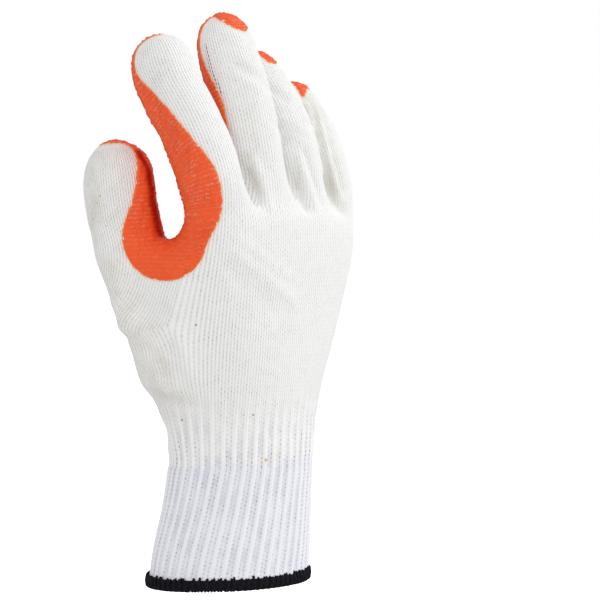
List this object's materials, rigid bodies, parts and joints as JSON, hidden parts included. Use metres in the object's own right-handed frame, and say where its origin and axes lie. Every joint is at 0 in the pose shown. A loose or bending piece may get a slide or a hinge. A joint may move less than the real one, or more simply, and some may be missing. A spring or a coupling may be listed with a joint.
{
  "type": "coated knitted work glove",
  "caption": "Knitted right-hand work glove in its worn form, with a ribbed cuff, bound hem and a textured latex coat over the palm, finger pads and thumb crotch.",
  "frame": {"origin": "centre of the cuff opening, in the middle height of its slightly sloping bound edge", "axes": "+Z from the cuff opening to the fingertips, -Y out of the back of the hand, +Y out of the palm, -X to the thumb side"},
  "size_m": [0.112, 0.0852, 0.2555],
  "materials": {
    "hand_yarn": "knitted polycotton yarn, warm white",
    "cuff_yarn": "ribbed elastic knit, cool white",
    "latex": "half-gloss orange latex with a fine crinkle",
    "hem_thread": "black overlock thread"
  },
  "bodies": {
    "root": {"knit_hand": "hand_yarn", "knit_cuff": "cuff_yarn", "latex_coating": "latex", "overlock_hem": "hem_thread"}
  },
  "joints": []
}
